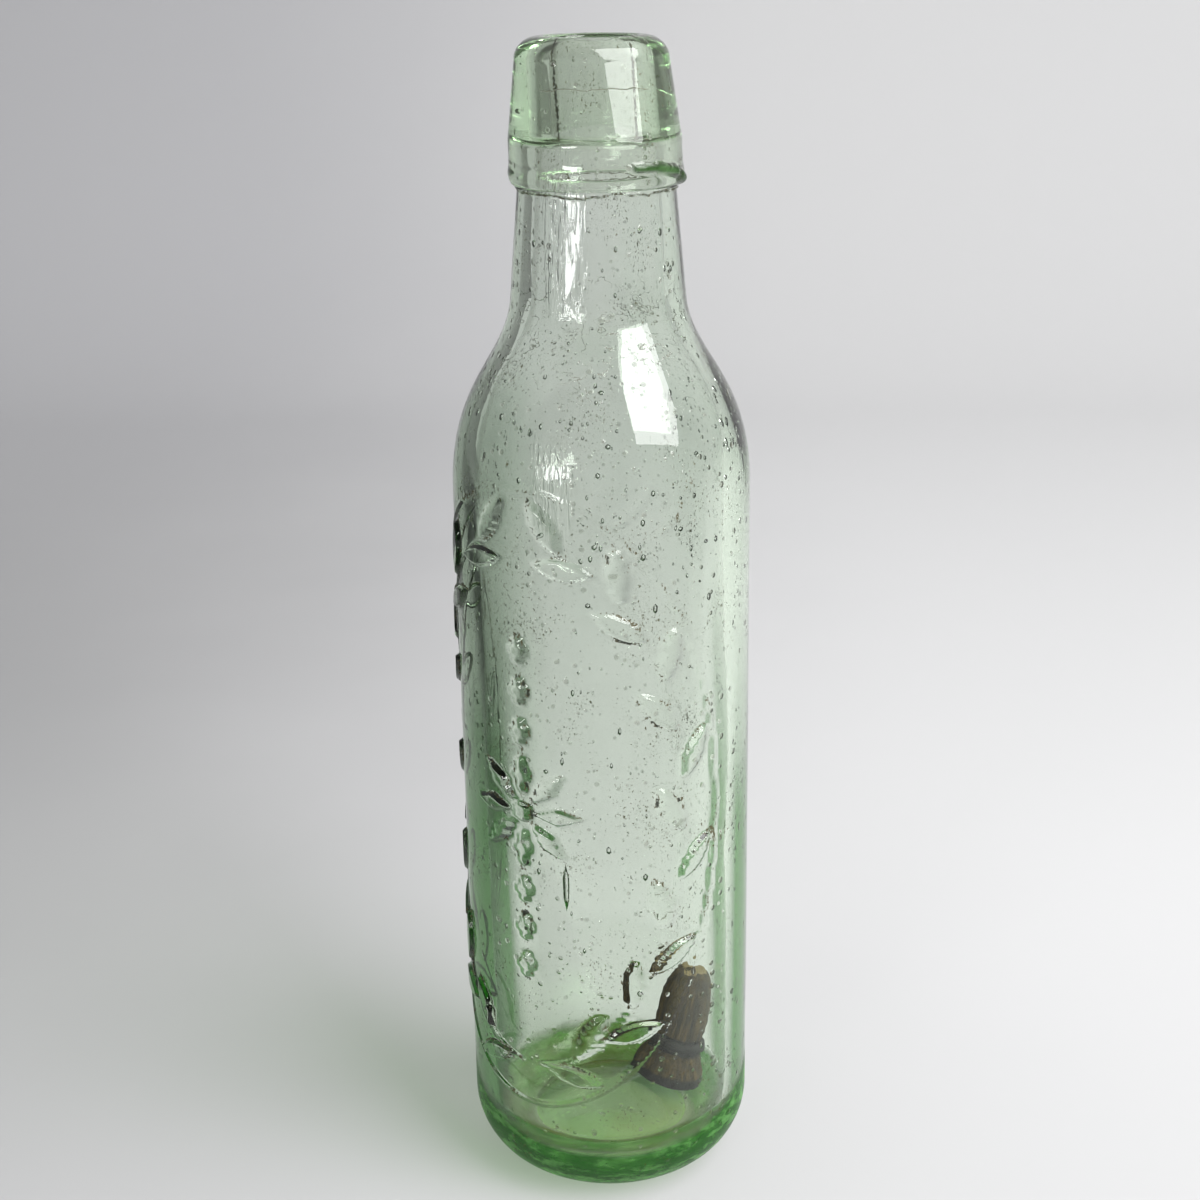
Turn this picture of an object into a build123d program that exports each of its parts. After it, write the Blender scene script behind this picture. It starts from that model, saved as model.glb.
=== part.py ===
from build123d import *
from math import atan2, cos, pi, radians, sin, sqrt
import os

# A hand-blown mineral water bottle with an applied lip and a loose wooden stopper inside.
# Millimetres, +Z up, origin on the bottle's axis in the plane that it stands on.

# Driving sizes of the bottle
body_diameter = 60.0
body_wall = 4.7
body_height = 152.0          # from the table to where the shoulder starts to curve
shoulder_height = 38.0
neck_length = 30.0           # from the end of the shoulder to the ledge under the lip
neck_diameter = 34.6         # outside, where the shoulder ends
neck_wall = 4.0
throat_diameter = 23.2       # inside, just under the ledge
throat_wall = 3.0

# Driving sizes of the base
heel_radius = 15.0
foot_width = 4.0             # flat ring that the bottle stands on
push_up = 2.5                # hollow under the base
floor_height = 9.5           # inner floor, where it meets the corner
floor_rise = 4.1             # the inner floor is domed by this much
corner_radius = 8.5          # inner corner between floor and wall

# Driving sizes of the applied lip
mouth_diameter = 17.0
lip_length = 19.0            # from the ledge to the top
lip_diameter = 28.6          # outside, where its sloping side would meet the top
collar_diameter = 33.5
collar_depth = 8.5           # how far the collar reaches down the neck
crown_rounding = 3.2
mouth_rounding = 1.0

# Driving sizes of the raised ornament: a wreath of leaves round a star, with lozenges above and below it
ornament_azimuth = 236.0     # degrees from +X, towards +Y, where its middle lies
foot_margin = 19.0           # from the heel's curve up to the wreath's stem
head_margin = 4.0            # from the wreath's stem up to the shoulder's curve
relief_height = 0.9          # how far it stands out from the wall
wreath_half_width = 34.0     # measured round the wall
leaves_per_branch = 15
leaf_length = 11.5
leaf_width = 3.8
leaf_spread = 32.0           # degrees between a leaf and the stem
branch_start = 8.0           # degrees round the wreath from its lowest point
branch_end = 164.0
ray_count = 8
ray_gap = 3.0                # from the star's middle to where its rays start
ray_length = 10.0
ray_width = 3.4
boss_diameter = 4.0
lozenge_count = 3            # above the star, and as many below it
lozenge_length = 6.8
lozenge_width = 4.0
lozenge_gap = 1.7            # between the tips of neighbours, and from the star
relief_overrun = 1.0         # the raised shapes are cut back by this much to the wall's curve

# Driving sizes of the stopper
stopper_length = 26.5
nose_diameter = 12.4
nose_end_diameter = 4.6      # the nose is cut off flat
flange_height = 8.0          # from its flat foot to the ring's groove
flange_edge = 1.6            # straight rim of the flange
flange_rounding = 0.5
ring_section = 2.4           # thickness of the perished rubber ring
ring_seat_depth = 1.5        # groove below the nose's surface
stopper_azimuth = 18.0       # degrees from +X, towards +Y, where the stopper lies
stopper_lean = 16.3          # degrees out from upright

# Named clearances
stopper_clearance = 0.2      # the wood passes through the mouth with this much to spare all round
ring_stretch = 0.05          # the ring grips its groove by this much
rest_gap = 0.3               # the loose stopper stands off floor and wall by this much

# Curve shares
shoulder_handle_share = 0.58
neck_handle_share = 0.32
nose_widest_share = 0.30
nose_start_share = 0.94
nose_round_share = 0.55          # a quarter of an ellipse, near enough
curve_shares = [step / 24 for step in range(25)]  # where a curve is measured, start to end
collar_rounding_share = 0.85     # of the collar's overhang beyond the neck

# Sizes that follow
body_r = body_diameter / 2
inner_r = body_r - body_wall
neck_r = neck_diameter / 2
neck_inner_r = neck_r - neck_wall
throat_r = throat_diameter / 2
throat_outer_r = throat_r + throat_wall
mouth_r = mouth_diameter / 2
shoulder_top = body_height + shoulder_height
ledge_height = shoulder_top + neck_length
bottle_height = ledge_height + lip_length
foot_outer_r = body_r - heel_radius
foot_inner_r = foot_outer_r - foot_width
floor_r = inner_r - corner_radius
dome_radius = (floor_r**2 + floor_rise**2) / (2 * floor_rise)
nose_r = nose_diameter / 2
nose_end_r = nose_end_diameter / 2
flange_r = mouth_r - stopper_clearance
groove_r = nose_r - ring_seat_depth
ring_r = ring_section / 2
ring_centre_r = groove_r + ring_r - ring_stretch
nose_length = stopper_length - flange_height - ring_section
nose_start = flange_height + ring_section
nose_widest = nose_start + nose_length * nose_widest_share
nose_tip = stopper_length - nose_widest


def shoulder_curve(start_r, end_r, end_lean):
    """Control points of the S-shaped line from the body's wall to the neck's."""
    low_handle = shoulder_height * shoulder_handle_share
    high_handle = shoulder_height * neck_handle_share
    return [
        (start_r, body_height),
        (start_r, body_height + low_handle),
        (end_r + high_handle * end_lean, shoulder_top - high_handle),
        (end_r, shoulder_top),
    ]


def neck_outer_at(height):
    """Outside radius of the tapering neck at a height."""
    return neck_r + (throat_outer_r - neck_r) * (height - shoulder_top) / neck_length


outer_lean = (neck_r - throat_outer_r) / neck_length
inner_lean = (neck_inner_r - throat_r) / neck_length

wreath_foot = heel_radius + foot_margin
wreath_head = body_height - head_margin
ornament_height = (wreath_foot + wreath_head) / 2
wreath_half_height = (wreath_head - wreath_foot) / 2
star_r = ray_gap + ray_length
leaf_arc_r = ((leaf_length / 2) ** 2 + (leaf_width / 2) ** 2) / leaf_width


def wall_plane(across, up, turn):
    """Plane inside the wall, across mm round from the ornament's middle and up mm above it."""
    azimuth = radians(ornament_azimuth) + across / body_r
    root_r = body_r - body_wall / 2
    outward = Vector(cos(azimuth), sin(azimuth), 0)
    tangent = Vector(-sin(azimuth), cos(azimuth), 0)
    return Plane(
        origin=outward * root_r + Vector(0, 0, ornament_height + up),
        x_dir=tangent * cos(turn) + Vector(0, 0, 1) * sin(turn),
        z_dir=outward,
    )


def leaf_planes():
    """Planes at the middles of the leaves, alternately inside and outside the two branches."""
    planes = []
    for side in (-1, 1):
        for leaf in range(leaves_per_branch):
            along = branch_start + (branch_end - branch_start) * leaf / (leaves_per_branch - 1)
            along = radians(along)
            across = side * wreath_half_width * sin(along)
            up = -wreath_half_height * cos(along)
            stem = atan2(wreath_half_height * sin(along), side * wreath_half_width * cos(along))
            turn = stem + radians(leaf_spread) * side * (1 if leaf % 2 else -1)
            planes.append(
                wall_plane(
                    across + leaf_length / 2 * cos(turn),
                    up + leaf_length / 2 * sin(turn),
                    turn,
                )
            )
    return planes


def ray_planes():
    """Planes at the middles of the star's rays."""
    reach = ray_gap + ray_length / 2
    turns = [2 * pi * ray / ray_count for ray in range(ray_count)]
    return [wall_plane(reach * cos(turn), reach * sin(turn), turn) for turn in turns]


def lozenge_planes():
    """Planes at the middles of the upright lozenges above and below the star."""
    pitch = lozenge_length + lozenge_gap
    ups = [star_r + pitch * (lozenge + 1 / 2) for lozenge in range(lozenge_count)]
    return [wall_plane(0, side * up, pi / 2) for side in (-1, 1) for up in ups]


# The raised ornament, from inside the wall out to one even height over it
relief_reach = body_wall / 2 + relief_height + relief_overrun
with BuildPart() as ornament:
    for plane in leaf_planes():
        with BuildSketch(plane):
            with BuildLine():
                RadiusArc((-leaf_length / 2, 0), (leaf_length / 2, 0), leaf_arc_r)
                RadiusArc((leaf_length / 2, 0), (-leaf_length / 2, 0), leaf_arc_r)
            make_face()
        extrude(amount=relief_reach)
    for planes, length, width in (
        (ray_planes(), ray_length, ray_width),
        (lozenge_planes(), lozenge_length, lozenge_width),
    ):
        for plane in planes:
            with BuildSketch(plane):
                with BuildLine():
                    Polyline(
                        (-length / 2, 0),
                        (0, -width / 2),
                        (length / 2, 0),
                        (0, width / 2),
                        close=True,
                    )
                make_face()
            extrude(amount=relief_reach)
    with BuildSketch(wall_plane(0, 0, 0)):
        Circle(boss_diameter / 2)
    extrude(amount=relief_reach)
    with Locations((0, 0, ornament_height)):
        Cylinder(radius=body_r + relief_height, height=body_height, mode=Mode.INTERSECT)

# The bottle: one turned wall from the hollow base to the sheared end of the neck
with BuildPart() as bottle:
    with BuildSketch(Plane.XZ):
        with BuildLine():
            Line((0, push_up), (0, floor_height + floor_rise))
            RadiusArc((0, floor_height + floor_rise), (floor_r, floor_height), dome_radius)
            RadiusArc(
                (floor_r, floor_height),
                (inner_r, floor_height + corner_radius),
                -corner_radius,
            )
            Line((inner_r, floor_height + corner_radius), (inner_r, body_height))
            Bezier(*shoulder_curve(inner_r, neck_inner_r, inner_lean))
            Polyline(
                (neck_inner_r, shoulder_top),
                (throat_r, ledge_height),
                (throat_outer_r, ledge_height),
                (neck_r, shoulder_top),
            )
            Bezier(*shoulder_curve(body_r, neck_r, outer_lean))
            Line((body_r, body_height), (body_r, heel_radius))
            RadiusArc((body_r, heel_radius), (foot_outer_r, 0), heel_radius)
            Line((foot_outer_r, 0), (foot_inner_r, 0))
            Spline(
                (foot_inner_r, 0),
                (0, push_up),
                tangents=[(-foot_inner_r, push_up), (-1, 0)],
            )
        make_face()
    revolve(axis=Axis.Z)
    add(ornament.part)
bottle.part.label = "bottle"

# The lip: a second gather of glass, laid over the neck's end and tooled round
collar_foot = ledge_height - collar_depth
collar_r = collar_diameter / 2
collar_overhang = collar_r - neck_outer_at(collar_foot)
with BuildPart() as applied_lip:
    with BuildSketch(Plane.XZ) as lip_profile:
        with BuildLine():
            Polyline(
                (mouth_r, ledge_height),
                (throat_outer_r, ledge_height),
                (neck_outer_at(collar_foot), collar_foot),
                (collar_r, collar_foot),
                (collar_r, ledge_height),
                (lip_diameter / 2, bottle_height),
                (mouth_r, bottle_height),
                close=True,
            )
        make_face()
        widest_corners = lip_profile.vertices().group_by(Axis.X)[-1].sort_by(Axis.Y)
        fillet(widest_corners[0], radius=collar_overhang * collar_rounding_share)
        top_corners = lip_profile.vertices().group_by(Axis.Y)[-1].sort_by(Axis.X)
        fillet(top_corners[-1], radius=crown_rounding)
        top_corners = lip_profile.vertices().group_by(Axis.Y)[-1].sort_by(Axis.X)
        fillet(top_corners[0], radius=mouth_rounding)
    revolve(axis=Axis.Z)
applied_lip.part.label = "applied_lip"


def rest_height(radius):
    """Height that clears the inner floor by the rest gap, at a radius."""
    if radius < floor_r:
        fall = dome_radius - sqrt(dome_radius**2 - radius**2)
        return floor_height + floor_rise - fall + rest_gap
    curve_r = corner_radius - rest_gap
    climb = min((radius - floor_r) / curve_r, 1)
    return floor_height + corner_radius - curve_r * sqrt(1 - climb**2)


def point_along(points, share):
    """Point on the curve that four control points give."""
    rest = 1 - share
    weights = (rest**3, 3 * rest**2 * share, 3 * rest * share**2, share**3)
    radius = sum(weight * point[0] for weight, point in zip(weights, points))
    height = sum(weight * point[1] for weight, point in zip(weights, points))
    return radius, height


# Where the stopper lies: nose against the wall, the foot's low edge on the floor or its corner
lean_sin = sin(radians(stopper_lean))
lean_cos = cos(radians(stopper_lean))
nose_points = [
    (nose_r, nose_widest),
    (nose_r, nose_widest + nose_tip * nose_round_share),
    (nose_end_r + (nose_r - nose_end_r) * nose_round_share, stopper_length),
    (nose_end_r, stopper_length),
]
nose_places = [point_along(nose_points, share) for share in curve_shares]
nose_reach = max(radius * lean_cos + height * lean_sin for radius, height in nose_places)
stopper_offset = inner_r - rest_gap - nose_reach
rim_steps = [flange_r * lean_cos * (2 * share - 1) for share in curve_shares]
foot_height = max(
    rest_height(abs(stopper_offset + step)) + step * lean_sin / lean_cos for step in rim_steps
)
out_x = cos(radians(stopper_azimuth))
out_y = sin(radians(stopper_azimuth))
stopper_up = Vector(lean_sin * out_x, lean_sin * out_y, lean_cos)
stopper_side = Vector(lean_cos * out_x, lean_cos * out_y, -lean_sin)
stopper_foot = Vector(stopper_offset * out_x, stopper_offset * out_y, foot_height)
stopper_plane = Plane(
    origin=stopper_foot,
    x_dir=stopper_side,
    z_dir=stopper_side.cross(stopper_up),
)
stopper_axis = Axis(stopper_foot, stopper_up)

# The stopper's body: a turned bobbin with a flared foot, a groove and a bullet nose
with BuildPart() as stopper_body:
    with BuildSketch(stopper_plane):
        with BuildLine():
            Polyline(
                (nose_end_r, stopper_length),
                (0, stopper_length),
                (0, 0),
                (flange_r - flange_rounding, 0),
                (flange_r, flange_rounding),
                (flange_r, flange_edge),
            )
            Spline(
                (flange_r, flange_edge),
                (nose_r, flange_height),
                tangents=[(-flange_edge, flange_height), (-flange_edge, flange_height)],
            )
            Polyline(
                (nose_r, flange_height),
                (groove_r, flange_height),
                (groove_r, nose_start),
                (nose_r * nose_start_share, nose_start),
            )
            Spline(
                (nose_r * nose_start_share, nose_start),
                (nose_r, nose_widest),
                tangents=[(nose_r - groove_r, nose_widest - nose_start), (0, 1)],
            )
            Bezier(*nose_points)
        make_face()
    revolve(axis=stopper_axis)
stopper_body.part.label = "stopper_body"

# The rubber ring, shrunk into the bobbin's groove
ring_centre = stopper_foot + stopper_up * (flange_height + ring_r)
with BuildPart() as stopper_ring:
    with BuildSketch(stopper_plane):
        with Locations((ring_centre_r, flange_height + ring_r)):
            Circle(ring_r)
    revolve(axis=stopper_axis)
stopper_ring.part.label = "stopper_ring"

os.makedirs("parts", exist_ok=True)
export_step(bottle.part, "parts/bottle.step")
export_step(applied_lip.part, "parts/applied_lip.step")
export_step(stopper_body.part, "parts/stopper_body.step")
export_step(stopper_ring.part, "parts/stopper_ring.step")

print("bottle height", bottle_height)
print("stopper offset", stopper_offset, "foot height", foot_height)
print("stopper foot", stopper_foot, "up", stopper_up)
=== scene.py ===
import bpy
import random
from math import asin, atan2, ceil, cos, degrees, exp, floor, hypot, pi, radians, sin
from mathutils import Matrix, Quaternion, Vector, noise


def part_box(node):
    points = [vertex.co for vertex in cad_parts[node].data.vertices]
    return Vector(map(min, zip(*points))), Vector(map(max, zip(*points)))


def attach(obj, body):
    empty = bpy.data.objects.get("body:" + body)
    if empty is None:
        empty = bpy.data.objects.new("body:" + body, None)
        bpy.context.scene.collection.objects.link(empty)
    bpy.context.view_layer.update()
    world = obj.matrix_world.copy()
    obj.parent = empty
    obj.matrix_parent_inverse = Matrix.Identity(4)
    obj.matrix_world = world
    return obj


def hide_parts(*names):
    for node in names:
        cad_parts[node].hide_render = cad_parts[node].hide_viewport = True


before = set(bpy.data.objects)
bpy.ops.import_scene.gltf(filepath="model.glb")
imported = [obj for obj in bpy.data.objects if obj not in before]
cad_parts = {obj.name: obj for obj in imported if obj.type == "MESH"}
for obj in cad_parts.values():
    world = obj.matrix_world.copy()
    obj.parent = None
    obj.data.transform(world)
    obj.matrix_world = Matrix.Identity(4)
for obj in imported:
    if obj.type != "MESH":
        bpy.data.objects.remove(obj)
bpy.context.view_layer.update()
mm = 0.001
print("frame loaded:", sorted(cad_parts))


def deselectAll():
    if bpy.context.mode != "OBJECT":
        bpy.ops.object.mode_set(mode="OBJECT")
    bpy.ops.object.select_all(action="DESELECT")


def smoothStep(low, high, value):
    share = min(max((value - low) / (high - low), 0), 1)
    return share * share * (3 - 2 * share)


def stretch(start, end, pitch):
    # points along a straight line, the first one left out
    count = max(1, ceil(hypot(end[0] - start[0], end[1] - start[1]) / pitch))
    return [
        (start[0] + (end[0] - start[0]) * i / count, start[1] + (end[1] - start[1]) * i / count)
        for i in range(1, count + 1)
    ]


def turnArc(centre, radius, fromAngle, toAngle, count):
    # points on an arc, angles in degrees, the first one left out
    angles = [radians(fromAngle + (toAngle - fromAngle) * i / count) for i in range(1, count + 1)]
    return [(centre[0] + radius * cos(a), centre[1] + radius * sin(a)) for a in angles]


def bendCurve(a, b, c, d, count):
    # points on a cubic curve, the first one left out
    points = []
    for i in range(1, count + 1):
        t = i / count
        u = 1 - t
        weights = (u ** 3, 3 * u * u * t, 3 * u * t * t, t ** 3)
        points.append(tuple(sum(w * p[k] for w, p in zip(weights, (a, b, c, d))) for k in (0, 1)))
    return points


def traceProfile(name, points):
    # one vertex pulled along the outline, in the plane y = 0
    deselectAll()
    bpy.ops.mesh.primitive_plane_add(size=mm)
    piece = bpy.context.object
    piece.name = piece.data.name = name
    bpy.ops.object.mode_set(mode="EDIT")
    bpy.ops.mesh.select_all(action="SELECT")
    bpy.ops.mesh.merge(type="CENTER")
    here = (0, 0)
    for there in points:
        move = (there[0] - here[0], 0, there[1] - here[1])
        if there is points[0]:
            bpy.ops.transform.translate(value=move)
        else:
            bpy.ops.mesh.extrude_region_move(TRANSFORM_OT_translate={"value": move})
        here = there
    bpy.ops.mesh.select_all(action="SELECT")
    return piece


def spinRound(sweeps):
    # sweeps are (degrees, steps), one after the other, to a full turn
    for degreesTurned, steps in sweeps:
        bpy.ops.mesh.spin(steps=steps, angle=radians(degreesTurned), center=(0, 0, 0), axis=(0, 0, 1))
    bpy.ops.mesh.select_all(action="SELECT")
    bpy.ops.mesh.remove_doubles(threshold=0.01 * mm)
    bpy.ops.mesh.normals_make_consistent(inside=False)
    bpy.ops.object.mode_set(mode="OBJECT")
    bpy.ops.object.shade_smooth()


def gapToStretch(x, y, x1, y1, x2, y2):
    # distance from a point to the straight line between two others
    dx, dy = x2 - x1, y2 - y1
    share = min(max(((x - x1) * dx + (y - y1) * dy) / (dx * dx + dy * dy), 0), 1)
    return hypot(x - x1 - dx * share, y - y1 - dy * share)


# Camera at the photograph's place
cameraView = {
    "distance": 386.9 * mm,     # in front of the bottle's axis
    "height": 256.4 * mm,
    "pitch": 18.5,              # degrees below level
    "roll": -0.955,
    "yaw": 0.10,
    "lens": 59.4,               # on a 36 mm frame
}


def addCamera():
    view = cameraView
    turned = (
        Matrix.Rotation(radians(view["yaw"]), 4, "Z")
        @ Matrix.Rotation(radians(90 - view["pitch"]), 4, "X")
        @ Matrix.Rotation(radians(view["roll"]), 4, "Z")
    )
    bpy.ops.object.camera_add(location=(0, -view["distance"], view["height"]))
    camera = bpy.context.object
    camera.name = "photoCamera"
    camera.rotation_euler = turned.to_euler()
    camera.data.sensor_width = 36
    camera.data.lens = view["lens"]
    bpy.context.scene.camera = camera


deselectAll()
addCamera()
print("camera placed")


# The glass: one closed wall, outside and inside, from the hollow base to the lip and back down
lowBottle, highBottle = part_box("bottle")
lowLip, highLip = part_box("applied_lip")

bottleGlass = {
    "bodyRadius": highBottle.x,
    "ledgeHeight": highBottle.z,
    "topHeight": highLip.z,
    "collarRadius": highLip.x,
    "collarFoot": lowLip.z,
    "wall": 4.7 * mm,
    "heelRadius": 15 * mm,
    "footWidth": 4 * mm,
    "pushUp": 2.5 * mm,
    "floorHeight": 9.5 * mm,        # inner floor at the corner
    "floorRise": 4.1 * mm,
    "cornerRadius": 8.5 * mm,
    "shoulderFoot": 152 * mm,
    "shoulderTop": 190 * mm,
    "lowHandle": 22 * mm,
    "highHandle": 12.2 * mm,
    "neckRadius": 17.3 * mm,
    "neckWall": 4 * mm,
    "throatRadius": 11.6 * mm,
    "throatWall": 3 * mm,
    "mouthRadius": 8.5 * mm,
    "lipRadius": 14.3 * mm,
    "crownRounding": 4.2 * mm,      # how far down the lip's rounded top reaches
    "mouthRounding": 1 * mm,
    "flatTop": 0.5 * mm,            # level ring between the two roundings
    "filmReach": 3 * mm,            # fine rows below the collar, for the film's edge
    "collarRounding": 1.3 * mm,
    "reliefPitch": 0.6 * mm,        # height of the rows that carry the raised ornament
    "reliefFoot": 23 * mm,          # where those rows start
    "reliefSpan": 88,               # degrees either side of the ornament's middle
    "denseSteps": 152,
    "coarseSteps": 52,
}


def glassOutline():
    g = bottleGlass
    body, inner = g["bodyRadius"], g["bodyRadius"] - g["wall"]
    neck, neckInner, throat = g["neckRadius"], g["neckRadius"] - g["neckWall"], g["throatRadius"]
    shoulderFoot, shoulderTop = g["shoulderFoot"], g["shoulderTop"]
    ledge, top, collar, collarFoot = g["ledgeHeight"], g["topHeight"], g["collarRadius"], g["collarFoot"]
    footOuter = body - g["heelRadius"]
    footInner = footOuter - g["footWidth"]
    outerLean = (neck - throat - g["throatWall"]) / (ledge - shoulderTop)
    innerLean = (neckInner - throat) / (ledge - shoulderTop)
    filmFoot = collarFoot - g["filmReach"]
    lipSide = top - g["crownRounding"]
    lipSideRadius = g["lipRadius"] + g["crownRounding"] * (collar - g["lipRadius"]) / (top - ledge)
    flat = g["mouthRadius"] + g["mouthRounding"] + g["flatTop"]
    corner = g["cornerRadius"]
    domeRadius = ((inner - corner) ** 2 + g["floorRise"] ** 2) / (2 * g["floorRise"])
    domeAngle = asin((inner - corner) / domeRadius)

    points = [(0, g["pushUp"])]
    points += bendCurve(points[0], (footInner * 0.4, g["pushUp"]), (footInner * 0.7, g["pushUp"] * 0.3),
                        (footInner, 0), 6)
    points += stretch(points[-1], (footOuter, 0), 2 * mm)
    points += turnArc((footOuter, g["heelRadius"]), g["heelRadius"], -90, 0, 13)
    points += stretch(points[-1], (body, g["reliefFoot"]), 1.6 * mm)
    points += stretch(points[-1], (body, shoulderFoot), g["reliefPitch"])
    points += bendCurve(points[-1], (body, shoulderFoot + g["lowHandle"]),
                        (neck + g["highHandle"] * outerLean, shoulderTop - g["highHandle"]),
                        (neck, shoulderTop), 40)
    points += stretch(points[-1], (neck - outerLean * (filmFoot - shoulderTop), filmFoot), 2.4 * mm)
    points += stretch(points[-1], (neck - outerLean * (collarFoot - shoulderTop), collarFoot), 0.3 * mm)
    points += [(collar - g["collarRounding"], collarFoot)]
    points += turnArc((collar - g["collarRounding"], collarFoot + g["collarRounding"]),
                      g["collarRounding"], -90, 0, 5)
    points += stretch(points[-1], (collar, ledge), 0.7 * mm)
    points += stretch(points[-1], (lipSideRadius, lipSide), 1.6 * mm)
    for i in range(1, 13):
        a = radians(90 * i / 12)
        points.append((flat + (lipSideRadius - flat) * cos(a), lipSide + g["crownRounding"] * sin(a)))
    points += stretch(points[-1], (g["mouthRadius"] + g["mouthRounding"], top), 1.4 * mm)
    points += turnArc((g["mouthRadius"] + g["mouthRounding"], top - g["mouthRounding"]),
                      g["mouthRounding"], 90, 180, 5)
    points += stretch(points[-1], (g["mouthRadius"], ledge), 2 * mm)
    points += stretch(points[-1], (throat, ledge), 1.2 * mm)
    points += stretch(points[-1], (neckInner, shoulderTop), 2.5 * mm)
    points += bendCurve(points[-1], (neckInner + g["highHandle"] * innerLean, shoulderTop - g["highHandle"]),
                        (inner, shoulderFoot + g["lowHandle"]), (inner, shoulderFoot), 18)
    points += stretch(points[-1], (inner, g["floorHeight"] + corner), 5 * mm)
    points += turnArc((inner - corner, g["floorHeight"] + corner), corner, 0, -90, 14)
    for i in range(1, 10):
        a = domeAngle * (1 - i / 9)
        points.append((domeRadius * sin(a), g["floorHeight"] + g["floorRise"] - domeRadius * (1 - cos(a))))
    return points


# The raised ornament on the front wall: a wreath of leaves round a star, with lozenges above and below it
wreath = {
    "azimuth": 236,                 # degrees from +X, where the ornament's middle lies
    "height": 91 * mm,
    "halfWidth": 34 * mm,           # measured round the wall
    "halfHeight": 57 * mm,
    "leaves": 15,                   # on each branch
    "leafLength": 11.5 * mm,
    "leafWidth": 3.8 * mm,
    "spread": 32,
    "start": 8,
    "end": 164,
    "rays": 8,
    "rayGap": 3 * mm,
    "rayLength": 10 * mm,
    "rayWidth": 3.4 * mm,
    "boss": 2 * mm,
    "lozenges": 3,
    "lozengeLength": 6.8 * mm,
    "lozengeWidth": 4 * mm,
    "lozengeGap": 1.7 * mm,
    "relief": 0.9 * mm,
    "edge": 0.32 * mm,              # the moulded edges are this soft on either side
    "frame": (42.4 * mm, 66.5 * mm),
    "line": 0.3 * mm,               # height of the fine lines
    "lineWidth": 0.4 * mm,
    "cell": 8 * mm,
    "reach": 70 * mm,               # nothing of it lies farther up or down than this
    "depth": 1.5 * mm,              # how near the outside a vertex has to be to carry it
}
# chill marks above the frame: the ends of short ridges in mm, across and up from the ornament's middle
chillMarks = ((20.9, 60.6, 24.2, 63.2), (24.2, 63.2, 27.4, 67.0), (29.3, 58.4, 32.4, 60.6),
              (32.4, 60.6, 34.4, 65.8), (34.4, 65.8, 36.4, 67.2))


def placeMotifs():
    # (across, up, turn, kind, half length, half width) of each raised shape
    w = wreath
    motifs = []
    for side in (-1, 1):
        for leaf in range(w["leaves"]):
            along = radians(w["start"] + (w["end"] - w["start"]) * leaf / (w["leaves"] - 1))
            turn = atan2(w["halfHeight"] * sin(along), side * w["halfWidth"] * cos(along))
            turn += radians(w["spread"]) * side * (1 if leaf % 2 else -1)
            motifs.append((side * w["halfWidth"] * sin(along) + w["leafLength"] / 2 * cos(turn),
                           -w["halfHeight"] * cos(along) + w["leafLength"] / 2 * sin(turn),
                           turn, "leaf", w["leafLength"] / 2, w["leafWidth"] / 2))
    reach = w["rayGap"] + w["rayLength"] / 2
    for ray in range(w["rays"]):
        turn = 2 * pi * ray / w["rays"]
        motifs.append((reach * cos(turn), reach * sin(turn), turn, "lozenge",
                       w["rayLength"] / 2, w["rayWidth"] / 2))
    for side in (-1, 1):
        for lozenge in range(w["lozenges"]):
            up = w["rayGap"] + w["rayLength"]
            up += (w["lozengeLength"] + w["lozengeGap"]) * (lozenge + 0.5)
            motifs.append((0, side * up, pi / 2, "lozenge", w["lozengeLength"] / 2, w["lozengeWidth"] / 2))
    motifs.append((0, 0, 0, "boss", w["boss"], w["boss"]))
    return motifs


def sortMotifs(motifs):
    # which raised shapes can touch each square of the wall
    cell = wreath["cell"]
    squares = {}
    for motif in motifs:
        reach = motif[4] + 1.2 * mm
        for i in range(floor((motif[0] - reach) / cell), floor((motif[0] + reach) / cell) + 1):
            for j in range(floor((motif[1] - reach) / cell), floor((motif[1] + reach) / cell) + 1):
                squares.setdefault((i, j), []).append(motif)
    return squares


motifSquares = sortMotifs(placeMotifs())


def edgeGap(s, t):
    # distance to the nearest raised shape's edge, less than nothing inside it
    cell = wreath["cell"]
    gap = 5 * mm
    for ms, mt, turn, kind, half, wide in motifSquares.get((floor(s / cell), floor(t / cell)), ()):
        ds, dt = s - ms, t - mt
        u = abs(ds * cos(turn) + dt * sin(turn))
        v = abs(dt * cos(turn) - ds * sin(turn))
        if kind == "leaf":
            arc = (half * half + wide * wide) / (2 * wide)
            here = hypot(u, v + arc - wide) - arc
        elif kind == "lozenge":
            here = (u / half + v / wide - 1) * half * wide / hypot(half, wide)
        else:
            here = hypot(u, v) - half
        gap = min(gap, here)
    return gap


def ovalGap(s, t, half):
    # distance to an oval's line
    k = hypot(s / half[0], t / half[1])
    if k < 0.2:
        return half[0]
    return abs(k - 1) * k / hypot(s / half[0] ** 2, t / half[1] ** 2)


def lineGap(s, t):
    # distance to the nearest fine line: the oval frame, and the wreath's stems
    w = wreath
    gap = ovalGap(s, t, w["frame"])
    along = atan2(abs(s) / w["halfWidth"], -t / w["halfHeight"])
    if radians(w["start"]) * 0.5 < along < radians(w["end"] + 3):
        gap = min(gap, ovalGap(s, t, (w["halfWidth"], w["halfHeight"])))
    if s > 18 * mm and t > 56 * mm:
        for mark in chillMarks:
            gap = min(gap, gapToStretch(s, t, *[end * mm for end in mark]))
    return gap


def reliefAt(s, t):
    w = wreath
    raised = w["relief"] * (1 - smoothStep(-w["edge"], w["edge"], edgeGap(s, t)))
    fine = w["line"] * (1 - smoothStep(w["lineWidth"] * 0.3, w["lineWidth"] * 1.6, lineGap(s, t)))
    return max(raised, fine)


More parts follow.
